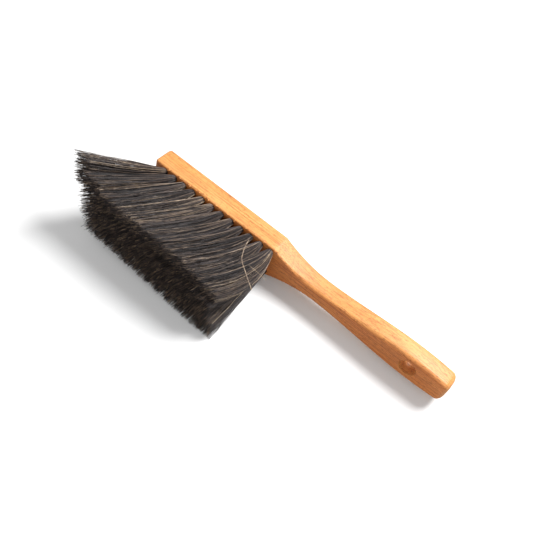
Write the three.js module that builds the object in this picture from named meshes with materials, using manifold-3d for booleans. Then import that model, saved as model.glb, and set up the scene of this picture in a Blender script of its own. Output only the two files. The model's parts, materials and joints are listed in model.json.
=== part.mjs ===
// Bee brush: a one-piece beech block and handle with staggered rows of natural fibre tufts.
//
// The brush is built in its own frame, then laid on its side as it rests on a table:
//   x runs from the nose of the block to the end of the handle,
//   y is 0 on the back face and falls towards the bristle tips,
//   z runs across the block, and is 0 on its middle.
// Each tuft is a bundle folded over a flat wire anchor and driven into a drilled blind hole.
// All sizes are in millimetres.

import * as THREE from 'three';
import { mergeVertices } from 'three/addons/utils/BufferGeometryUtils.js';
import Module from 'manifold-3d';

// Wood: one plank, cut to outline and rounded over.
const overallLength = 315.5;
const blockThickness = 19.8; // back face to bristle face
const handleThickness = 19;
const blockWidth = 36.8;
const blockLength = 135.5; // nose to shoulder
const neckWidth = 15.6;
const neckRun = 50; // shoulder to the narrowest place
const gripWidth = 27.8;
const gripRun = 92; // narrowest place to the widest of the grip
const endWidth = 22.5;
const shoulderPower = 2.25; // above 1, the shoulder is a hollow curve
const blockEdgeRadius = 1.8;
const handleEdgeRadius = 4;
const noseRadius = 3;
const endRadius = 5;

// Hanging hole, through the broad faces near the end of the handle.
const hangingHoleDiameter = 15.6;
const hangingHoleLip = 0.9; // eased rim on both faces
const hangingHoleInset = 36; // end of the handle to the middle of the hole

// Tuft holes: outer rows in line, the middle row between them.
const tuftsPerOuterRow = 12;
const firstHoleInset = 12.5; // nose to the first hole
const lastHoleInset = 2.5; // last hole to the shoulder
const tuftHoleDiameter = 6.6;
const tuftHoleDepth = 12;
const rowEdgeMargin = 2; // rim of an outer hole to the side of the block
const noseDrillLean = 14; // degrees towards the nose, first hole
const heelDrillLean = 4; // degrees towards the nose, last hole

// Bristles.
const bristleLength = 76; // out of the block, along the fibres
const topTipHeight = 21; // how much of the height across the tips the top row fills
const middleTipHeight = 21;
const bottomNoseTipHeight = 12; // the bottom row splays out more and more
const bottomHeelTipHeight = 25; // towards the handle
const tipGap = 0.7; // between two tufts at the tips
const collarLength = 3; // a tuft stays as narrow as its hole for this length
const endSplayReach = 30; // from the first hole, where the nose tufts splay further
const endSplayRise = 9; // how far the splayed tufts of the top row also stand up
const endSplaySpread = 4; // and how much wider they open, each way
const seatClearance = 0.3; // between a tuft and its hole, and under its fold

// Wire anchors, pressed over the fold and biting into the wood on both sides.
const anchorThickness = 0.6;
const anchorHeight = 4;
const anchorBite = 0.8;

// Facets.
const arcSteps = 4; // on each rounded edge
const tuftSides = 12;
const holeSides = 36;

const wasm = await Module();
wasm.setup();

// One closed body through a row of rings with equal numbers of points.
function loft(rings) {
  const count = rings[0].length;
  const points = rings.flat();
  const index = [];
  for (let r = 0; r < rings.length - 1; r += 1) {
    for (let i = 0; i < count; i += 1) {
      const a = r * count + i;
      const b = r * count + ((i + 1) % count);
      index.push(a, b, a + count, b, b + count, a + count);
    }
  }
  const last = (rings.length - 1) * count;
  for (let i = 1; i < count - 1; i += 1) {
    index.push(0, i + 1, i, last, last + i, last + i + 1);
  }
  const geometry = new THREE.BufferGeometry();
  geometry.setAttribute('position', new THREE.Float32BufferAttribute(points.flatMap((p) => p.toArray()), 3));
  geometry.setIndex(index);
  return geometry;
}

function toSolid(geometry) {
  const bare = geometry.clone();
  bare.deleteAttribute('normal');
  bare.deleteAttribute('uv');
  const merged = mergeVertices(bare, 1e-4);
  const solid = new wasm.Manifold(new wasm.Mesh({
    numProp: 3,
    vertProperties: new Float32Array(merged.attributes.position.array),
    triVerts: new Uint32Array(merged.index.array),
  }));
  return solid;
}

function toGeometry(solid) {
  const mesh = solid.getMesh();
  const geometry = new THREE.BufferGeometry();
  geometry.setAttribute('position', new THREE.Float32BufferAttribute(mesh.vertProperties, 3));
  geometry.setIndex(new THREE.Uint32BufferAttribute(mesh.triVerts, 1));
  return geometry;
}

const mix = THREE.MathUtils.lerp;
const smooth = (u) => u * u * (3 - 2 * u);
const slope = (degrees) => Math.tan(THREE.MathUtils.degToRad(degrees));

// ---- Wood -------------------------------------------------------------------------------

const neckPlace = blockLength + neckRun;
const gripPlace = neckPlace + gripRun;

function outlineWidth(x) {
  if (x <= blockLength) return blockWidth;
  if (x <= neckPlace) {
    return neckWidth + (blockWidth - neckWidth) * (1 - (x - blockLength) / neckRun) ** shoulderPower;
  }
  if (x <= gripPlace) return mix(neckWidth, gripWidth, smooth((x - neckPlace) / gripRun));
  return mix(gripWidth, endWidth, ((x - gripPlace) / (overallLength - gripPlace)) ** 2);
}

function edgeRadius(x) {
  const u = THREE.MathUtils.clamp((x - blockLength) / neckRun, 0, 1);
  return mix(blockEdgeRadius, handleEdgeRadius, smooth(u));
}

function thickness(x) {
  const u = THREE.MathUtils.clamp((x - blockLength) / neckRun, 0, 1);
  return mix(blockThickness, handleThickness, smooth(u));
}

// How far every side draws in at a distance from a rounded end.
function endInset(distance, radius) {
  if (distance >= radius) return 0;
  return radius - Math.sqrt(radius ** 2 - (radius - distance) ** 2);
}

function woodRing(x) {
  const inset = endInset(x, noseRadius) + endInset(overallLength - x, endRadius);
  const halfWidth = outlineWidth(x) / 2 - inset;
  const halfThickness = thickness(x) / 2 - inset;
  const radius = Math.min(edgeRadius(x), halfWidth - 1, halfThickness - 1);
  const ring = [];
  for (let corner = 0; corner < 4; corner += 1) {
    const ySide = corner === 0 || corner === 3 ? 1 : -1;
    const zSide = corner < 2 ? 1 : -1;
    for (let step = 0; step <= arcSteps; step += 1) {
      const angle = (corner + step / arcSteps) * (Math.PI / 2);
      ring.push(new THREE.Vector3(
        x,
        -blockThickness / 2 + ySide * (halfThickness - radius) + radius * Math.cos(angle),
        zSide * (halfWidth - radius) + radius * Math.sin(angle),
      ));
    }
  }
  return ring;
}

// Stations along the wood, closer together where it curves.
function spread(from, to, steps) {
  return Array.from({ length: steps }, (_, i) => mix(from, to, i / steps));
}

function roundedEnd(radius, steps) {
  return Array.from({ length: steps + 1 }, (_, i) => radius * (1 - Math.cos((i / steps) * (Math.PI / 2))));
}

const woodStations = [
  ...roundedEnd(noseRadius, 4),
  blockLength,
  ...spread(blockLength, neckPlace, 10).slice(1),
  ...spread(neckPlace, gripPlace, 14),
  ...spread(gripPlace, overallLength - endRadius, 5),
  ...roundedEnd(endRadius, 5).map((x) => overallLength - x).reverse(),
];

function hangingHoleTool() {
  const radius = hangingHoleDiameter / 2;
  const over = 2; // stands past both faces
  const rim = radius + hangingHoleLip;
  const face = handleThickness / 2; // from the middle of the wood
  const profile = [
    [0, -face - over],
    [rim + over, -face - over],
    [radius, -face + hangingHoleLip],
    [radius, face - hangingHoleLip],
    [rim + over, face + over],
    [0, face + over],
  ].map(([r, y]) => new THREE.Vector2(r, y));
  const geometry = new THREE.LatheGeometry(profile, holeSides);
  geometry.translate(overallLength - hangingHoleInset, -blockThickness / 2, 0);
  return geometry;
}

// ---- Tufts ------------------------------------------------------------------------------

const rowSpacing = blockWidth / 2 - rowEdgeMargin - tuftHoleDiameter / 2;
const firstHole = firstHoleInset;
const lastHole = blockLength - lastHoleInset;
const pitch = (lastHole - firstHole) / (tuftsPerOuterRow - 1);
const tuftRadius = tuftHoleDiameter / 2 - seatClearance;

// side is 1 for the row that lies on top, 0 for the middle one and -1 for the one on the table.
// Each sweep is how far the tips lie towards the nose from their hole: at the first hole, at the
// last, and what the nose tufts add because nothing beside them holds them up.
const rows = [
  {
    name: 'top', side: 1, count: tuftsPerOuterRow, offset: 0,
    noseHeight: topTipHeight, heelHeight: topTipHeight,
    noseSweep: 26, heelSweep: 25, endSweep: 10, endRise: endSplayRise, endSpread: endSplaySpread,
  },
  {
    name: 'middle', side: 0, count: tuftsPerOuterRow - 1, offset: pitch / 2,
    noseHeight: middleTipHeight, heelHeight: middleTipHeight,
    noseSweep: 22, heelSweep: 9, endSweep: 8, endRise: 0, endSpread: 0,
  },
  {
    name: 'bottom', side: -1, count: tuftsPerOuterRow, offset: 0,
    noseHeight: bottomNoseTipHeight, heelHeight: bottomHeelTipHeight,
    noseSweep: 13, heelSweep: 2, endSweep: 0, endRise: 0, endSpread: 0,
  },
];

function tuftPlan(row, number) {
  const x = firstHole + row.offset + number * pitch;
  const along = (x - firstHole) / (lastHole - firstHole);
  const endShare = Math.max(0, 1 - (x - firstHole) / endSplayReach) ** 2;
  const drill = -mix(slope(noseDrillLean), slope(heelDrillLean), along);
  const sweep = mix(row.noseSweep, row.heelSweep, along) + row.endSweep * endShare;
  const height = mix(row.noseHeight, row.heelHeight, along);
  const tipZ = row.side * (middleTipHeight + height) / 2 + row.endRise * endShare;
  const rise = tipZ - row.side * rowSpacing;
  const reach = Math.sqrt(bristleLength ** 2 - sweep ** 2 - rise ** 2);
  return { x, drill, rise, reach, tip: x - sweep, halfHeight: height / 2 + row.endSpread * endShare };
}

// The middle of a bundle at a distance out of the bristle face, negative inside the wood.
// Inside it follows the drilled hole; outside it bends over towards its tips.
function tuftAxis(row, number) {
  const { x, drill, rise, reach, tip } = tuftPlan(row, number);
  return (out) => {
    const bend = (tip - x - drill * reach) * Math.max(0, out / reach) ** 2;
    return new THREE.Vector3(
      x + drill * out + bend,
      -blockThickness - out,
      row.side * rowSpacing + rise * (out / reach),
    );
  };
}

// A ring parallel to the bristle face, from round (0) to a block-shaped bundle (1).
function bundleRing(centre, radius, halfLength, halfHeight, square) {
  return Array.from({ length: tuftSides }, (_, i) => {
    const angle = ((i + 0.5) / tuftSides) * Math.PI * 2;
    const c = Math.cos(angle);
    const s = Math.sin(angle);
    const boxed = Math.max(Math.abs(c), Math.abs(s)) ** -0.8;
    return new THREE.Vector3(
      centre.x + mix(radius * c, halfLength * c * boxed, square),
      centre.y,
      centre.z + mix(radius * s, halfHeight * s * boxed, square),
    );
  });
}

// How far a bundle has filled the space it has, at each share of its reach.
const opening = [[0.2, 0.5], [0.5, 0.85], [1, 1]];

function tuftGeometry(row, number) {
  const { reach, halfHeight } = tuftPlan(row, number);
  const axis = tuftAxis(row, number);
  // A bundle has the space up to the middle between it and the bundles beside it.
  const border = (out, step) => {
    const other = number + step;
    const here = axis(out).x;
    if (other < 0 || other >= row.count) return here + (step * pitch) / 2;
    return (here + tuftAxis(row, other)(out).x) / 2;
  };
  const rings = [seatClearance - tuftHoleDepth, 0, collarLength].map((out) => (
    bundleRing(axis(out), tuftRadius, 0, 0, 0)
  ));
  for (const [share, opened] of opening) {
    const out = reach * share;
    const before = border(out, -1);
    const after = border(out, 1);
    const centre = axis(out);
    centre.x = mix(centre.x, (before + after) / 2, opened);
    const halfLength = (after - before - tipGap) / 2;
    rings.push(bundleRing(
      centre, tuftRadius, halfLength, mix(rowSpacing / 2, halfHeight, share) - tipGap / 2, opened,
    ));
  }
  return loft(rings);
}

// The flat of the anchor across the fold, or the slot it bites out of the wood.
function anchorGeometry(axis, clearance) {
  const geometry = new THREE.BoxGeometry(
    tuftHoleDiameter + 2 * (anchorBite + clearance),
    anchorHeight + 2 * clearance,
    anchorThickness + 2 * clearance,
  );
  const middle = axis(seatClearance + anchorHeight / 2 - tuftHoleDepth);
  geometry.translate(middle.x, middle.y, middle.z);
  return geometry;
}

function holeTool(axis) {
  const radius = tuftHoleDiameter / 2;
  return loft([-tuftHoleDepth, 1].map((out) => bundleRing(axis(out), radius, radius, radius, 0)));
}

// ---- Assembly ---------------------------------------------------------------------------

const beech = new THREE.MeshStandardMaterial({ color: 0xe0a566, roughness: 0.55, metalness: 0 });
const fibre = new THREE.MeshStandardMaterial({ color: 0x3f3835, roughness: 0.75, metalness: 0 });

const laidBrush = new THREE.Group();
let wood = toSolid(loft(woodStations.map(woodRing))).subtract(toSolid(hangingHoleTool()));

for (const row of rows) {
  for (let number = 0; number < row.count; number += 1) {
    const axis = tuftAxis(row, number);
    wood = wood.subtract(toSolid(holeTool(axis))).subtract(toSolid(anchorGeometry(axis, seatClearance)));
    const tuft = toSolid(tuftGeometry(row, number)).add(toSolid(anchorGeometry(axis, 0)));
    const mesh = new THREE.Mesh(toGeometry(tuft), fibre);
    mesh.name = `tuft_${row.name}_${String(number + 1).padStart(2, '0')}`;
    laidBrush.add(mesh);
  }
}
const woodMesh = new THREE.Mesh(toGeometry(wood), beech);
woodMesh.name = 'wooden_block_and_handle';
laidBrush.add(woodMesh);

// The brush lies on the back edge of its block and on the splayed tips of its bottom row.
function lowest(meshes, tilt) {
  let low = Infinity;
  for (const mesh of meshes) {
    const position = mesh.geometry.attributes.position;
    for (let i = 0; i < position.count; i += 1) {
      low = Math.min(low, position.getZ(i) * Math.cos(tilt) - position.getY(i) * Math.sin(tilt));
    }
  }
  return low;
}

const tuftMeshes = laidBrush.children.filter((mesh) => mesh !== woodMesh);
let tilt = 0;
for (let step = Math.PI / 8; step > 1e-6; step /= 2) {
  if (lowest(tuftMeshes, tilt + step) < lowest([woodMesh], tilt + step)) tilt += step;
}
laidBrush.rotation.x = -tilt;

// The origin is under the middle of the brush, on the surface that it lies on.
const beeBrush = new THREE.Group();
beeBrush.add(laidBrush);
const box = new THREE.Box3().setFromObject(beeBrush, true);
const middle = box.getCenter(new THREE.Vector3());
laidBrush.position.set(-middle.x, -middle.y, -box.min.z);

export default beeBrush;
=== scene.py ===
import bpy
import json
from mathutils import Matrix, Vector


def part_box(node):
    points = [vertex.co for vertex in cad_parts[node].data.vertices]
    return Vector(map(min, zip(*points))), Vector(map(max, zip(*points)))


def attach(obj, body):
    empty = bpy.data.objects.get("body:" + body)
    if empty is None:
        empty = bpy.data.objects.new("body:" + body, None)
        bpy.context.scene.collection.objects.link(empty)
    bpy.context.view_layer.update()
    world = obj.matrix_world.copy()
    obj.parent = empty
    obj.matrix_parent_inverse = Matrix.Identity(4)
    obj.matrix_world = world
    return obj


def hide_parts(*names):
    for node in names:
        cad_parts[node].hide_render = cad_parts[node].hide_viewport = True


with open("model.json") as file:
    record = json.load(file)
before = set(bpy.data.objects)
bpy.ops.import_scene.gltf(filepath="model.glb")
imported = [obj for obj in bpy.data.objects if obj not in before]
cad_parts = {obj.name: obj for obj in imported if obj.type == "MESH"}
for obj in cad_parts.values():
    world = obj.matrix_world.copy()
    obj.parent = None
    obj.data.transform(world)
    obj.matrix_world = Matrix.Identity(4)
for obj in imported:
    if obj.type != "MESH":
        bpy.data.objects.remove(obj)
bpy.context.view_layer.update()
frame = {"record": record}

import json
import math
import random

import bmesh
import bpy
from mathutils import Matrix, Vector

scene = bpy.context.scene

# ---- The brush as it lies -----------------------------------------------------------------
# The brush rests on its side, on the back edge of its block and on its splayed bristles.
# Its own axes: x from nose to handle end, y out of the back face, z out of the upper side.
# y is 0 on the back face of the block, and z is 0 half-way across it.

BLOCK_WIDTH = 0.0368
BLOCK_THICKNESS = 0.0198

mounts = {mount["name"]: mount for mount in frame["record"]["mounts"]}
lengthwise = Vector((1, 0, 0))
out_of_back = Vector(mounts["back_face"]["axis"])
out_of_side = Vector(mounts["upper_side_face"]["axis"])
on_back = Vector(mounts["back_face"]["pos_m"])
on_side = Vector(mounts["upper_side_face"]["pos_m"])
wood_low, wood_high = (Vector(corner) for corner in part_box("wooden_block_and_handle"))
LENGTH = wood_high.x - wood_low.x

# The nose end of the back face's middle line.
start = (
    lengthwise * wood_low.x
    + out_of_back * on_back.dot(out_of_back)
    + out_of_side * (on_side.dot(out_of_side) - BLOCK_WIDTH / 2)
)


def facing(x_axis, y_axis, z_axis, place):
    return Matrix((
        (x_axis.x, y_axis.x, z_axis.x, place.x),
        (x_axis.y, y_axis.y, z_axis.y, place.y),
        (x_axis.z, y_axis.z, z_axis.z, place.z),
        (0, 0, 0, 1),
    ))


laid = facing(lengthwise, out_of_back, out_of_side, start)


def link(name, data):
    obj = bpy.data.objects.new(name, data)
    scene.collection.objects.link(obj)
    return obj


def plain_mesh(obj, name):
    """The mesh that the object's modifiers make; the modifiers are taken off."""
    bpy.context.view_layer.update()
    made = bpy.data.meshes.new_from_object(obj.evaluated_get(bpy.context.evaluated_depsgraph_get()))
    obj.modifiers.clear()
    made.name = name
    return made


def mix(a, b, u):
    return a + (b - a) * u


def smooth(u):
    u = min(max(u, 0), 1)
    return u * u * (3 - 2 * u)


# ---- Camera, floor and lights -------------------------------------------------------------
# A close camera above the bristle side of the handle looks back at the tufts, turned so that
# the handle points down to the right. The floor is white and keeps the brush's soft shadow.
# One large lamp stands behind the back face; weaker ones fill the bristle side and the nose.

CAMERA_AT = Vector((0.2718, -0.3608, 0.4580))
CAMERA_AIM = Vector((-0.2317, 0.5754, -0.7843))
CAMERA_UP = Vector((-0.5964, 0.5529, 0.5819))
CAMERA_LENS = 46.31
SENSOR_WIDTH = 36
LIT_PLACE = Vector((0, 0, 0.02))
LAMPS = (
    # name, place, width, power
    ("key_lamp", (0.35, 0.75, 1.05), 0.62, 26),
    ("fill_lamp", (0.5, -0.8, 0.9), 0.9, 3.4),
    ("far_lamp", (-0.9, -0.3, 0.8), 0.9, 1.5),
)
WORLD_STRENGTH = 0.36
FLOOR_REACH = 30
FLOOR_THROWN_BACK = 0.42
FLOOR_SEEN_EXTRA = 0.53

camera = link("camera", bpy.data.cameras.new("camera"))
camera.data.sensor_width = SENSOR_WIDTH
camera.data.lens = CAMERA_LENS
camera.data.clip_start = 0.01
back = -CAMERA_AIM.normalized()
right = CAMERA_UP.cross(back).normalized()
camera.matrix_world = laid @ facing(right, back.cross(right), back, CAMERA_AT)
scene.camera = camera
scene.view_settings.view_transform = "Standard"


def soft_lamp(name, place, size, power):
    light = bpy.data.lights.new(name, "AREA")
    light.shape = "DISK"
    light.size = size
    light.energy = power
    lamp = link(name, light)
    lamp.location = place
    lamp.rotation_euler = (LIT_PLACE - Vector(place)).to_track_quat("-Z", "Y").to_euler()


for lamp_values in LAMPS:
    soft_lamp(*lamp_values)

world = bpy.data.worlds.new("world")
scene.world = world
world.use_nodes = True
world.node_tree.nodes["Background"].inputs["Color"].default_value = (1, 1, 1, 1)
world.node_tree.nodes["Background"].inputs["Strength"].default_value = WORLD_STRENGTH

floor_mesh = bpy.data.meshes.new("floor")
floor_mesh.from_pydata(
    [(-FLOOR_REACH, -FLOOR_REACH, 0), (FLOOR_REACH, -FLOOR_REACH, 0),
     (FLOOR_REACH, FLOOR_REACH, 0), (-FLOOR_REACH, FLOOR_REACH, 0)],
    [], [(0, 1, 2, 3)],
)
floor = link("floor", floor_mesh)
floor_material = bpy.data.materials.new("white_floor")
floor_material.use_nodes = True
floor_shader = floor_material.node_tree.nodes["Principled BSDF"]
# Seen straight on it is a bright white; what it throws back onto the brush is dimmer.
paths = floor_material.node_tree.nodes.new("ShaderNodeLightPath")
seen = floor_material.node_tree.nodes.new("ShaderNodeMath")
seen.operation = "MULTIPLY_ADD"
seen.inputs[1].default_value = FLOOR_SEEN_EXTRA
seen.inputs[2].default_value = FLOOR_THROWN_BACK
floor_material.node_tree.links.new(paths.outputs["Is Camera Ray"], seen.inputs[0])
floor_material.node_tree.links.new(seen.outputs[0], floor_shader.inputs["Base Color"])
floor_shader.inputs["Roughness"].default_value = 0.9
floor_shader.inputs["Specular IOR Level"].default_value = 0.1
floor_mesh.materials.append(floor_material)

# ---- Tuft holes ---------------------------------------------------------------------------
# Three rows of blind holes in the bristle face, the middle row set half a pitch on.
# They lean towards the nose, the first ones most. Each holds one bundle of fibre.

FIRST_HOLE = 0.0125
LAST_HOLE = 0.133
HOLES_PER_OUTER_ROW = 12
TUFT_HOLE_RADIUS = 0.0033
TUFT_HOLE_DEPTH = 0.012
ROW_EDGE_MARGIN = 0.002
NOSE_DRILL_LEAN = 14
HEEL_DRILL_LEAN = 4

PITCH = (LAST_HOLE - FIRST_HOLE) / (HOLES_PER_OUTER_ROW - 1)
ROW_SPACING = BLOCK_WIDTH / 2 - ROW_EDGE_MARGIN - TUFT_HOLE_RADIUS


def drill_slope(x):
    lean = mix(
        math.tan(math.radians(NOSE_DRILL_LEAN)), math.tan(math.radians(HEEL_DRILL_LEAN)),
        (x - FIRST_HOLE) / (LAST_HOLE - FIRST_HOLE),
    )
    return -lean


def hole_places(side):
    count = HOLES_PER_OUTER_ROW - (side == 0)
    offset = PITCH / 2 if side == 0 else 0
    return [(FIRST_HOLE + offset + number * PITCH, side * ROW_SPACING) for number in range(count)]


# ---- Wooden block and handle --------------------------------------------------------------
# One beech plank, sawn to outline, with a hollow shoulder, a thin neck and a wider grip.
# The block's edges are only eased, the handle's are rounded over; the whole is oiled.
# A hanging hole goes through the broad faces near the end of the handle.

HANDLE_THICKNESS = 0.019
BLOCK_LENGTH = 0.1355
NECK_WIDTH = 0.0156
NECK_RUN = 0.050
GRIP_WIDTH = 0.0278
GRIP_RUN = 0.092
END_WIDTH = 0.0225
SHOULDER_POWER = 2.25
BLOCK_EDGE = 0.0018
HANDLE_EDGE = 0.004
NOSE_RADIUS = 0.003
END_RADIUS = 0.005
HANG_RADIUS = 0.0078
HANG_LIP = 0.0009
HANG_INSET = 0.036
EDGE_STEPS = 6
NOSE_STEPS = 6
BLOCK_STEPS = 24
HANDLE_STEPS = 90
END_STEPS = 8
LEAST_CORE = 0.001
LIP_ANGLES = (0, 20, 40, 60, 80)
TUFT_HOLE_SIDES = 24
HANG_HOLE_SIDES = 64
CUTTER_OVER = 0.001
SHARP_FROM = 40


def outline_width(x):
    neck = BLOCK_LENGTH + NECK_RUN
    grip = neck + GRIP_RUN
    if x <= BLOCK_LENGTH:
        return BLOCK_WIDTH
    if x <= neck:
        return NECK_WIDTH + (BLOCK_WIDTH - NECK_WIDTH) * (1 - (x - BLOCK_LENGTH) / NECK_RUN) ** SHOULDER_POWER
    if x <= grip:
        return mix(NECK_WIDTH, GRIP_WIDTH, smooth((x - neck) / GRIP_RUN))
    return mix(GRIP_WIDTH, END_WIDTH, ((x - grip) / (LENGTH - grip)) ** 2)


def end_inset(distance, radius):
    if distance >= radius:
        return 0
    return radius - math.sqrt(radius ** 2 - (radius - distance) ** 2)


def wood_ring(x, steps):
    inset = end_inset(x, NOSE_RADIUS) + end_inset(LENGTH - x, END_RADIUS)
    over_shoulder = smooth((x - BLOCK_LENGTH) / NECK_RUN)
    half_width = outline_width(x) / 2 - inset
    half_thickness = mix(BLOCK_THICKNESS, HANDLE_THICKNESS, over_shoulder) / 2 - inset
    edge = min(
        mix(BLOCK_EDGE, HANDLE_EDGE, over_shoulder),
        half_width - LEAST_CORE, half_thickness - LEAST_CORE,
    )
    ring = []
    for corner, (y_side, z_side) in enumerate(((1, 1), (-1, 1), (-1, -1), (1, -1))):
        for step in range(steps + 1):
            angle = (corner + step / steps) * math.pi / 2
            ring.append(Vector((
                x,
                -BLOCK_THICKNESS / 2 + y_side * (half_thickness - edge) + edge * math.cos(angle),
                z_side * (half_width - edge) + edge * math.sin(angle),
            )))
    return ring


def wood_stations():
    nose = [NOSE_RADIUS * (1 - math.cos(i / NOSE_STEPS * math.pi / 2)) for i in range(NOSE_STEPS + 1)]
    end = [
        LENGTH - END_RADIUS * (1 - math.cos(i / END_STEPS * math.pi / 2))
        for i in range(END_STEPS, -1, -1)
    ]
    block = [mix(NOSE_RADIUS, BLOCK_LENGTH, i / BLOCK_STEPS) for i in range(1, BLOCK_STEPS + 1)]
    handle = [mix(BLOCK_LENGTH, LENGTH - END_RADIUS, i / HANDLE_STEPS) for i in range(1, HANDLE_STEPS)]
    return nose + block + handle + end


def add_loft(build, rings):
    rows = [[build.verts.new(point) for point in ring] for ring in rings]
    for near, far in zip(rows, rows[1:]):
        for i in range(len(near)):
            j = (i + 1) % len(near)
            build.faces.new((near[i], near[j], far[j], far[i]))
    build.faces.new(rows[0][::-1])
    build.faces.new(rows[-1])


def to_mesh(name, build):
    bmesh.ops.recalc_face_normals(build, faces=build.faces)
    mesh = bpy.data.meshes.new(name)
    build.to_mesh(mesh)
    build.free()
    return mesh


def round_ring(x, y, z, radius, sides):
    return [
        Vector((x + radius * math.cos(a), y, z + radius * math.sin(a)))
        for a in (i / sides * math.tau for i in range(sides))
    ]


blank = bmesh.new()
add_loft(blank, [wood_ring(x, EDGE_STEPS) for x in wood_stations()])
wood = link("beech_block_and_handle", to_mesh("beech_blank", blank))

drills = bmesh.new()
for side in (1, 0, -1):
    for x, z in hole_places(side):
        add_loft(drills, [
            round_ring(x + drill_slope(x) * out, -BLOCK_THICKNESS - out, z, TUFT_HOLE_RADIUS, TUFT_HOLE_SIDES)
            for out in (-TUFT_HOLE_DEPTH, CUTTER_OVER)
        ])
face = HANDLE_THICKNESS / 2
rim = [
    (HANG_RADIUS + HANG_LIP * (1 - math.cos(a)), face - HANG_LIP * (1 - math.sin(a)))
    for a in (math.radians(degrees) for degrees in LIP_ANGLES)
] + [(HANG_RADIUS + 2 * HANG_LIP, face + 2 * CUTTER_OVER)]
hang_profile = [(radius, -depth) for radius, depth in reversed(rim)] + rim
add_loft(drills, [
    round_ring(LENGTH - HANG_INSET, -BLOCK_THICKNESS / 2 + y, 0, radius, HANG_HOLE_SIDES)
    for radius, y in hang_profile
])
drill_shapes = link("drill_shapes", to_mesh("drill_shapes", drills))

cut = wood.modifiers.new("drilled", "BOOLEAN")
cut.operation = "DIFFERENCE"
cut.solver = "EXACT"
cut.object = drill_shapes
wood.data = plain_mesh(wood, "drilled_wood")
bpy.data.objects.remove(drill_shapes)
wood.data.transform(laid)
for polygon in wood.data.polygons:
    polygon.use_smooth = True
wood.data.set_sharp_from_angle(angle=math.radians(SHARP_FROM))
even = wood.modifiers.new("even_faces", "WEIGHTED_NORMAL")
even.keep_sharp = True
wood.data = plain_mesh(wood, "beech_wood")

# The beech: long grain of warm orange-brown, fine darker pores drawn out along it, and the
# short flecks that beech shows. The oil film is satin and a little uneven.


def new_material(name):
    material = bpy.data.materials.new(name)
    material.use_nodes = True
    tree = material.node_tree
    return material, tree, tree.nodes["Principled BSDF"], tree.nodes.new("ShaderNodeTexCoord")


def stretched(tree, coordinates, scale, turned=0.0):
    mapping = tree.nodes.new("ShaderNodeMapping")
    tree.links.new(coordinates.outputs["Object"], mapping.inputs["Vector"])
    mapping.inputs["Scale"].default_value = scale
    mapping.inputs["Rotation"].default_value = (turned, 0, 0)
    return mapping.outputs["Vector"]


def noise(tree, vector, scale, detail, distortion=0.0):
    texture = tree.nodes.new("ShaderNodeTexNoise")
    tree.links.new(vector, texture.inputs["Vector"])
    texture.inputs["Scale"].default_value = scale
    texture.inputs["Detail"].default_value = detail
    texture.inputs["Distortion"].default_value = distortion
    return texture.outputs["Fac"]


def limits(tree, value, low, high, to_low=0.0, to_high=1.0):
    span = tree.nodes.new("ShaderNodeMapRange")
    tree.links.new(value, span.inputs["Value"])
    span.inputs["From Min"].default_value = low
    span.inputs["From Max"].default_value = high
    span.inputs["To Min"].default_value = to_low
    span.inputs["To Max"].default_value = to_high
    return span.outputs["Result"]


def blended(tree, factor, first, second, how="MIX"):
    blend = tree.nodes.new("ShaderNodeMix")
    blend.data_type = "RGBA"
    blend.blend_type = how
    tree.links.new(factor, blend.inputs[0])
    for socket, colour in ((blend.inputs[6], first), (blend.inputs[7], second)):
        if isinstance(colour, tuple):
            socket.default_value = colour
        else:
            tree.links.new(colour, socket)
    return blend.outputs[2]


EARLY_WOOD = (0.83, 0.40, 0.125, 1)
LATE_WOOD = (0.68, 0.27, 0.072, 1)
PORE_BROWN = (0.34, 0.095, 0.026, 1)
FLECK_BROWN = (0.27, 0.07, 0.02, 1)
OILED_PALE = (0.80, 0.42, 0.15, 1)
# Painted shade: the darker, redder tint laid on both broad faces, standing for shade on the bristle face.
PAINTED_SHADE_TINT = (0.98, 0.74, 0.62, 1)


def oiled_beech():
    beech, tree, shader, coordinates = new_material("oiled_beech")
    broad = noise(tree, stretched(tree, coordinates, (5, 60, 60)), 1.0, 3, 0.6)
    pores = noise(tree, stretched(tree, coordinates, (24, 1150, 1150)), 1.0, 3)
    flecks = noise(tree, stretched(tree, coordinates, (300, 1900, 1900), 0.3), 1.0, 1)
    patches = noise(tree, stretched(tree, coordinates, (30, 90, 90)), 1.0, 2)
    tone = blended(tree, limits(tree, broad, 0.35, 0.65), EARLY_WOOD, LATE_WOOD)
    tone = blended(tree, limits(tree, pores, 0.47, 0.62, 0, 0.66), tone, PORE_BROWN)
    tone = blended(tree, limits(tree, flecks, 0.58, 0.64, 0, 0.7), tone, FLECK_BROWN)
    tone = blended(tree, limits(tree, patches, 0.3, 0.7, 0, 0.25), tone, OILED_PALE)
    # Painted shade: both broad faces are tinted darker and redder than the sides, standing for the reddish
    # shade on the bristle face, which lies away from the key lamp.
    toward_face = tree.nodes.new("ShaderNodeVectorMath")
    toward_face.operation = "DOT_PRODUCT"
    tree.links.new(coordinates.outputs["Normal"], toward_face.inputs[0])
    toward_face.inputs[1].default_value = out_of_back
    painted_shade_mask = tree.nodes.new("ShaderNodeMath")
    painted_shade_mask.operation = "ABSOLUTE"
    tree.links.new(toward_face.outputs["Value"], painted_shade_mask.inputs[0])
    painted_shade_colour = blended(tree, painted_shade_mask.outputs[0], tone, PAINTED_SHADE_TINT, "MULTIPLY")
    tone = blended(tree, limits(tree, painted_shade_mask.outputs[0], 0.5, 0.95), tone, painted_shade_colour)
    tree.links.new(tone, shader.inputs["Base Color"])
    tree.links.new(limits(tree, patches, 0.3, 0.7, 0.42, 0.56), shader.inputs["Roughness"])
    shader.inputs["Specular IOR Level"].default_value = 0.4
    relief = tree.nodes.new("ShaderNodeBump")
    relief.inputs["Strength"].default_value = 0.25
    relief.inputs["Distance"].default_value = 0.0002
    tree.links.new(pores, relief.inputs["Height"])
    tree.links.new(relief.outputs["Normal"], shader.inputs["Normal"])
    return beech


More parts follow.
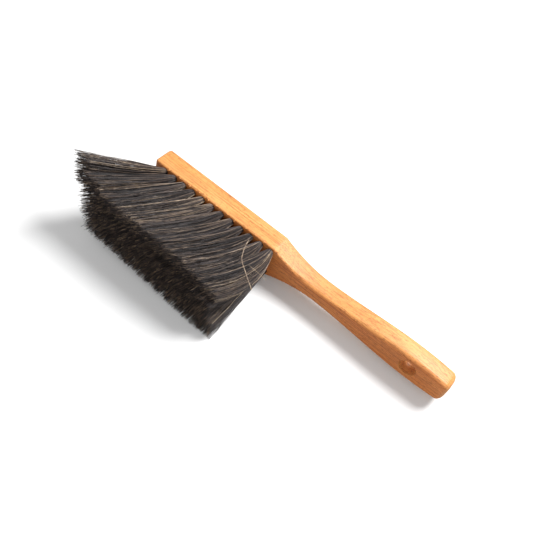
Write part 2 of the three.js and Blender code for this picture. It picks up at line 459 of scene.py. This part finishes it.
beech = oiled_beech()
wood.data.materials.clear()
wood.data.materials.append(beech)
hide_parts("wooden_block_and_handle")
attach(wood, "root")

# ---- Fibre material -----------------------------------------------------------------------
# Dark natural fibre: nearly black with a dull sheen, some fibres brown, tan or pale.
# Each fibre has one shade, a little streaked along its length.

FIBRE_SHADES = (
    # place on the scale of shades, colour
    (0.0, (0.012, 0.010, 0.011, 1)),
    (0.50, (0.045, 0.036, 0.036, 1)),
    (0.78, (0.15, 0.11, 0.092, 1)),
    (0.93, (0.33, 0.235, 0.17, 1)),
    (1.0, (0.66, 0.50, 0.34, 1)),
)


def natural_fibre():
    fibre, tree, shader, coordinates = new_material("natural_fibre")
    shade = tree.nodes.new("ShaderNodeAttribute")
    shade.attribute_name = "shade"
    streaks = noise(tree, coordinates.outputs["Object"], 260, 2)
    shaded = tree.nodes.new("ShaderNodeMath")
    shaded.operation = "ADD"
    tree.links.new(shade.outputs["Fac"], shaded.inputs[0])
    tree.links.new(limits(tree, streaks, 0.3, 0.7, -0.06, 0.06), shaded.inputs[1])
    shades = tree.nodes.new("ShaderNodeValToRGB")
    tree.links.new(shaded.outputs[0], shades.inputs["Fac"])
    ramp = shades.color_ramp
    darkest, *between, palest = FIBRE_SHADES
    ramp.elements[0].position, ramp.elements[0].color = darkest
    ramp.elements[1].position, ramp.elements[1].color = palest
    for position, colour in between:
        ramp.elements.new(position).color = colour
    tree.links.new(shades.outputs["Color"], shader.inputs["Base Color"])
    shader.inputs["Roughness"].default_value = 0.45
    shader.inputs["Specular IOR Level"].default_value = 0.5
    return fibre


fibre = natural_fibre()

# ---- Fibre bundles ------------------------------------------------------------------------
# Each tuft is its own bundle of loose fibres, rooted in its hole and splayed at the tips.
# The fibres keep their order from the hole to the tips, wave a little, and are cut level.
# Whatever would go through the table lies along it instead.

FIBRE_POINTS = 9
FIBRE_SIDES = 3
OPENING_POWER = 1.6
HOLE_FILL = 0.94
THINNEST = 0.65
THICKER_BY = 0.9
TIP_TAPER = 0.3
CLEAR_OF_TABLE = 1.4

tuft_tree = bpy.data.node_groups.new("fibre_bundle", "GeometryNodeTree")
tree_nodes = tuft_tree.nodes
tree_wires = tuft_tree.links
BUNDLE_INPUTS = {
    "Root": "NodeSocketVector",
    "Drill Slope": "NodeSocketFloat",
    "Reach": "NodeSocketFloat",
    "Sweep": "NodeSocketFloat",
    "Rise": "NodeSocketFloat",
    "Hole Radius": "NodeSocketFloat",
    "Hole Depth": "NodeSocketFloat",
    "Tip Shift": "NodeSocketFloat",
    "Tip Half Length": "NodeSocketFloat",
    "Tip Half Height": "NodeSocketFloat",
    "Count": "NodeSocketInt",
    "Fibre Radius": "NodeSocketFloat",
    "Wave": "NodeSocketFloat",
    "Stray": "NodeSocketFloat",
    "Cut Spread": "NodeSocketFloat",
    "Table Up": "NodeSocketVector",
    "Table Height": "NodeSocketFloat",
    "Seed": "NodeSocketInt",
    "Material": "NodeSocketMaterial",
}
tuft_tree.interface.new_socket(name="Geometry", in_out="INPUT", socket_type="NodeSocketGeometry")
input_key = {
    name: tuft_tree.interface.new_socket(name=name, in_out="INPUT", socket_type=kind).identifier
    for name, kind in BUNDLE_INPUTS.items()
}
tuft_tree.interface.new_socket(name="Geometry", in_out="OUTPUT", socket_type="NodeSocketGeometry")
given = tree_nodes.new("NodeGroupInput").outputs


def feed(socket, value):
    if hasattr(value, "is_output"):
        tree_wires.new(value, socket)
    else:
        socket.default_value = value


def calc(operation, *values):
    node = tree_nodes.new("ShaderNodeMath")
    node.operation = operation
    for socket, value in zip(node.inputs, values):
        feed(socket, value)
    return node.outputs[0]


def add(*values):
    total = values[0]
    for value in values[1:]:
        total = calc("ADD", total, value)
    return total


def times(*values):
    product = values[0]
    for value in values[1:]:
        product = calc("MULTIPLY", product, value)
    return product


def parts(vector):
    node = tree_nodes.new("ShaderNodeSeparateXYZ")
    tree_wires.new(vector, node.inputs[0])
    return node.outputs[0], node.outputs[1], node.outputs[2]


def vector_of(*values):
    node = tree_nodes.new("ShaderNodeCombineXYZ")
    for socket, value in zip(node.inputs, values):
        feed(socket, value)
    return node.outputs[0]


def chance(low, high, owner, seed_step):
    node = tree_nodes.new("FunctionNodeRandomValue")
    node.data_type = "FLOAT_VECTOR"
    node.inputs[0].default_value = (low,) * 3
    node.inputs[1].default_value = (high,) * 3
    tree_wires.new(owner, node.inputs["ID"])
    feed(node.inputs["Seed"], add(given["Seed"], seed_step))
    return parts(node.outputs[0])


# One straight line of points for each fibre.
strand = tree_nodes.new("GeometryNodeCurvePrimitiveLine")
strand_points = tree_nodes.new("GeometryNodeResampleCurve")
strand_points.inputs["Count"].default_value = FIBRE_POINTS
tree_wires.new(strand.outputs[0], strand_points.inputs["Curve"])
seats = tree_nodes.new("GeometryNodeMeshLine")
feed(seats.inputs["Count"], given["Count"])
strands = tree_nodes.new("GeometryNodeInstanceOnPoints")
tree_wires.new(seats.outputs[0], strands.inputs["Points"])
tree_wires.new(strand_points.outputs[0], strands.inputs["Instance"])
loose = tree_nodes.new("GeometryNodeRealizeInstances")
tree_wires.new(strands.outputs[0], loose.inputs[0])

of_point = tree_nodes.new("GeometryNodeCurveOfPoint")
number = of_point.outputs["Curve Index"]
step = of_point.outputs["Index in Curve"]
across_x, across_z, _ = chance(-1, 1, number, 0)
stray_x, stray_z, cut_level = chance(-1, 1, number, 1)
shade_of, width_of, _ = chance(0, 1, number, 2)

# How far along its free length a point is, and how far out of the bristle face.
share = calc("DIVIDE", calc("MAXIMUM", calc("SUBTRACT", step, 1), 0), FIBRE_POINTS - 2)
reach = add(given["Reach"], times(cut_level, given["Cut Spread"]))
in_hole = calc("MAXIMUM", calc("SUBTRACT", 1, step), 0)
out = calc("SUBTRACT", times(share, reach), times(in_hole, given["Hole Depth"]))
opened = calc("SUBTRACT", 1, calc("POWER", calc("SUBTRACT", 1, share), OPENING_POWER))
closed = calc("SUBTRACT", 1, opened)
share_squared = times(share, share)


def in_disc(value, other):
    return times(value, calc("SQRT", calc("SUBTRACT", 1, times(other, other, 0.5))))


def rarely(value, most):
    return times(value, value, value, value, value, most, share_squared)


wave_texture = tree_nodes.new("ShaderNodeTexNoise")
wave_texture.inputs["Scale"].default_value = 1.0
wave_texture.inputs["Detail"].default_value = 1.0
feed(wave_texture.inputs["Vector"], vector_of(
    times(number, 3.7), times(share, 2.6), times(given["Seed"], 11.3),
))
wave_x, _, wave_z = parts(wave_texture.outputs["Color"])
wave_reach = times(given["Wave"], 2, share)
root_x, root_y, root_z = parts(given["Root"])
fibre_x = add(
    root_x,
    times(given["Drill Slope"], out),
    times(given["Sweep"], share_squared),
    times(given["Hole Radius"], HOLE_FILL, in_disc(across_x, across_z), closed),
    times(given["Tip Half Length"], across_x, opened),
    times(given["Tip Shift"], opened),
    times(calc("SUBTRACT", wave_x, 0.5), wave_reach),
    rarely(stray_x, given["Stray"]),
)
fibre_z = add(
    root_z,
    times(given["Rise"], share),
    times(given["Hole Radius"], HOLE_FILL, in_disc(across_z, across_x), closed),
    times(given["Tip Half Height"], across_z, opened),
    times(calc("SUBTRACT", wave_z, 0.5), wave_reach),
    rarely(stray_z, given["Stray"]),
)
free_place = vector_of(fibre_x, calc("SUBTRACT", root_y, out), fibre_z)
height = tree_nodes.new("ShaderNodeVectorMath")
height.operation = "DOT_PRODUCT"
feed(height.inputs[0], free_place)
feed(height.inputs[1], given["Table Up"])
above_table = add(height.outputs["Value"], given["Table Height"])
lift = calc("MAXIMUM", calc("SUBTRACT", times(given["Fibre Radius"], CLEAR_OF_TABLE), above_table), 0)
lifted = tree_nodes.new("ShaderNodeVectorMath")
lifted.operation = "MULTIPLY_ADD"
feed(lifted.inputs[0], given["Table Up"])
feed(lifted.inputs[1], vector_of(lift, lift, lift))
feed(lifted.inputs[2], free_place)
bent = tree_nodes.new("GeometryNodeSetPosition")
tree_wires.new(loose.outputs[0], bent.inputs["Geometry"])
tree_wires.new(lifted.outputs[0], bent.inputs["Position"])

# Each fibre gets a thickness of its own, tapers to its tip, and keeps one shade.
kept_shade = tree_nodes.new("GeometryNodeStoreNamedAttribute")
kept_shade.data_type = "FLOAT"
kept_shade.domain = "POINT"
kept_shade.inputs["Name"].default_value = "shade"
tree_wires.new(bent.outputs[0], kept_shade.inputs["Geometry"])
feed(kept_shade.inputs["Value"], shade_of)
outline = tree_nodes.new("GeometryNodeCurvePrimitiveCircle")
outline.inputs["Resolution"].default_value = FIBRE_SIDES
outline.inputs["Radius"].default_value = 1.0
solid = tree_nodes.new("GeometryNodeCurveToMesh")
tree_wires.new(kept_shade.outputs[0], solid.inputs["Curve"])
tree_wires.new(outline.outputs[0], solid.inputs["Profile Curve"])
solid.inputs["Fill Caps"].default_value = True
feed(solid.inputs["Scale"], times(
    given["Fibre Radius"], add(times(width_of, width_of, THICKER_BY), THINNEST),
    calc("SUBTRACT", 1, times(share, TIP_TAPER)),
))
real = tree_nodes.new("GeometryNodeRealizeInstances")
tree_wires.new(solid.outputs[0], real.inputs[0])
coloured = tree_nodes.new("GeometryNodeSetMaterial")
tree_wires.new(real.outputs[0], coloured.inputs["Geometry"])
feed(coloured.inputs["Material"], given["Material"])
tree_wires.new(coloured.outputs[0], tree_nodes.new("NodeGroupOutput").inputs[0])


def fibre_bundle(name, values):
    bundle = link(name, bpy.data.meshes.new(name))
    growth = bundle.modifiers.new("fibres", "NODES")
    growth.node_group = tuft_tree
    for key, value in values.items():
        growth[input_key[key]] = value
    bundle.update_tag()
    bundle.data = plain_mesh(bundle, name)
    bundle.data.transform(laid)
    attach(bundle, "root")
    return bundle


# ---- Rows of tufts ------------------------------------------------------------------------
# The top row sweeps towards the nose, and its first tufts stand up and splay the most.
# The middle row lies behind it, and the bottom row spreads out on the table.

BRISTLE_LENGTH = 0.076
TOP_TIP_HEIGHT = 0.021
MIDDLE_TIP_HEIGHT = 0.021
BOTTOM_NOSE_TIP_HEIGHT = 0.012
BOTTOM_HEEL_TIP_HEIGHT = 0.025
END_SPLAY_REACH = 0.030
END_SPLAY_RISE = 0.009
FIBRES_PER_TUFT = 260
MINGLE = 0.0025
FANNED_TUFTS = 2
USUAL_HALF_HEIGHT = 0.0105
MOST_FULLNESS = 2.2
SEEDS_PER_ROW = 100
ABOVE_HOLE_BOTTOM = 0.001

rows = (
    dict(name="top", side=1, heights=(TOP_TIP_HEIGHT, TOP_TIP_HEIGHT), sweeps=(0.026, 0.025),
         end_sweep=0.010, end_rise=END_SPLAY_RISE, end_spread=0.008, heel_fan=0.017, heel_drop=0.006),
    dict(name="middle", side=0, heights=(MIDDLE_TIP_HEIGHT, MIDDLE_TIP_HEIGHT), sweeps=(0.022, 0.009),
         end_sweep=0.010, end_rise=0.001, end_spread=0.007, heel_fan=0.006, heel_drop=0),
    dict(name="bottom", side=-1, heights=(BOTTOM_NOSE_TIP_HEIGHT, BOTTOM_HEEL_TIP_HEIGHT),
         sweeps=(0.013, 0.002), end_sweep=0, end_rise=0, end_spread=0.002, heel_fan=0, heel_drop=0),
)


def tuft_plan(row, x, z):
    share_along = (x - FIRST_HOLE) / (LAST_HOLE - FIRST_HOLE)
    end_share = max(0, 1 - (x - FIRST_HOLE) / END_SPLAY_REACH) ** 2
    swept = mix(*row["sweeps"], share_along) + row["end_sweep"] * end_share
    tip_height = mix(*row["heights"], share_along)
    rise = row["side"] * (MIDDLE_TIP_HEIGHT + tip_height) / 2 + row["end_rise"] * end_share - z
    return dict(
        tip=x - swept, rise=rise, half_height=tip_height / 2 + row["end_spread"] * end_share,
        reach=math.sqrt(BRISTLE_LENGTH ** 2 - swept ** 2 - rise ** 2),
    )


for row in rows:
    places = hole_places(row["side"])
    plans = [tuft_plan(row, x, z) for x, z in places]
    tips = [plan["tip"] for plan in plans]
    for number_in_row, ((x, z), plan) in enumerate(zip(places, plans)):
        tip = plan["tip"]
        first = number_in_row == 0
        last = number_in_row == len(places) - 1
        before = tip - PITCH / 2 if first else (tips[number_in_row - 1] + tip) / 2
        after = tip + PITCH / 2 if last else (tips[number_in_row + 1] + tip) / 2
        fan = max(0, number_in_row + 1 + FANNED_TUFTS - len(places)) / FANNED_TUFTS
        after += row["heel_fan"] * fan
        plan["rise"] -= row["heel_drop"] * fan
        fullness = (after - before) / PITCH * plan["half_height"] / USUAL_HALF_HEIGHT
        tuft_name = f"{row['name']}_{number_in_row + 1:02d}"
        tuft = fibre_bundle("fibres_" + tuft_name, {
            "Root": (x, -BLOCK_THICKNESS, z),
            "Drill Slope": drill_slope(x),
            "Reach": plan["reach"],
            "Sweep": tip - x - drill_slope(x) * plan["reach"],
            "Rise": plan["rise"],
            "Hole Radius": TUFT_HOLE_RADIUS,
            "Hole Depth": TUFT_HOLE_DEPTH - ABOVE_HOLE_BOTTOM,
            "Tip Shift": (before + after) / 2 - tip,
            "Tip Half Length": (after - before) / 2 + MINGLE,
            "Tip Half Height": plan["half_height"],
            "Count": int(FIBRES_PER_TUFT * min(max(fullness, 1), MOST_FULLNESS)),
            "Fibre Radius": 0.00021,
            "Wave": 0.0028,
            "Stray": 0.004,
            "Cut Spread": 0.0009,
            "Table Up": (0.0, out_of_back.z, out_of_side.z),
            "Table Height": start.z,
            "Seed": SEEDS_PER_ROW * (row["side"] + 2) + number_in_row,
            "Material": fibre,
        })
        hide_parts("tuft_" + tuft_name)

# ---- Stray fibres -------------------------------------------------------------------------
# A long blond fibre has come loose and lies a few millimetres clear of the last tufts, and a
# fine pale one starts among them and stands out. Both are the same fibre as the tufts.

STRAYS = (
    ("stray_blond_fibre", 0.00024, 0.95, (
        (0.117, -0.033, 0.0255), (0.1195, -0.041, 0.0275), (0.1235, -0.050, 0.0275),
        (0.126, -0.054, 0.0275), (0.136, -0.061, 0.026), (0.149, -0.068, 0.022),
    )),
    ("stray_pale_fibre", 0.00012, 1.0, (
        (0.132, -0.050, 0.021), (0.144, -0.0525, 0.024), (0.152, -0.0535, 0.024),
    )),
)


def stray_fibre(name, radius, shade_value, path):
    bend = bpy.data.curves.new(name, "CURVE")
    bend.dimensions = "3D"
    bend.bevel_depth = radius
    bend.bevel_resolution = 1
    bend.use_fill_caps = True
    line = bend.splines.new("BEZIER")
    line.bezier_points.add(len(path) - 1)
    for point, spot in zip(line.bezier_points, path):
        point.co = spot
        point.handle_left_type = "AUTO"
        point.handle_right_type = "AUTO"
    bent = link(name + "_path", bend)
    mesh = plain_mesh(bent, name)
    bpy.data.objects.remove(bent)
    mesh.transform(laid)
    mesh.attributes.new("shade", "FLOAT", "POINT").data.foreach_set(
        "value", [shade_value] * len(mesh.vertices),
    )
    mesh.materials.clear()
    mesh.materials.append(fibre)
    stray = link(name, mesh)
    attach(stray, "root")


for stray_values in STRAYS:
    stray_fibre(*stray_values)

# ---- Wood burrs ---------------------------------------------------------------------------
# Small curls of torn wood stand along the eased edge beside the top row, between its holes.
# Each is a thin sliver of the same beech. The last three are past the last hole, where the
# shoulder draws in, and start 0.6 to 1.4 mm clear of the wood.

BURRS_PER_GAP = 3
BURR_LENGTH = 0.0026
BURR_WIDTH = 0.0011
burr_chance = random.Random(7)
slivers = bmesh.new()
for x, z in hole_places(1):
    for burr in range(BURRS_PER_GAP):
        rooted = Vector((
            x + PITCH / 2 + burr_chance.uniform(-0.0022, 0.0022),
            -BLOCK_THICKNESS + BLOCK_EDGE * 0.6,
            BLOCK_WIDTH / 2 - burr_chance.uniform(0.0002, 0.0008),
        ))
        way = Vector((burr_chance.uniform(-0.9, 0.5), -1, burr_chance.uniform(-0.1, 0.9))).normalized()
        broad_way = way.cross(Vector((0, 0.3, 1))).normalized() * BURR_WIDTH / 2
        thin_way = way.cross(broad_way).normalized() * BURR_WIDTH / 5
        curl = thin_way.normalized() * burr_chance.uniform(-0.0006, 0.0006)
        reach_out = BURR_LENGTH * burr_chance.uniform(0.5, 1.2)
        rings = []
        for share_out, width_left in ((0, 1), (0.45, 0.9), (0.8, 0.6), (1, 0.2)):
            middle = rooted + way * reach_out * share_out + curl * share_out ** 2
            rings.append([
                middle + (broad_way * a + thin_way * b) * width_left
                for a, b in ((1, 1), (-1, 1), (-1, -1), (1, -1))
            ])
        add_loft(slivers, rings)
burrs = link("wood_burrs", to_mesh("wood_burrs", slivers))
burrs.data.transform(laid)
burrs.data.materials.append(beech)
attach(burrs, "root")
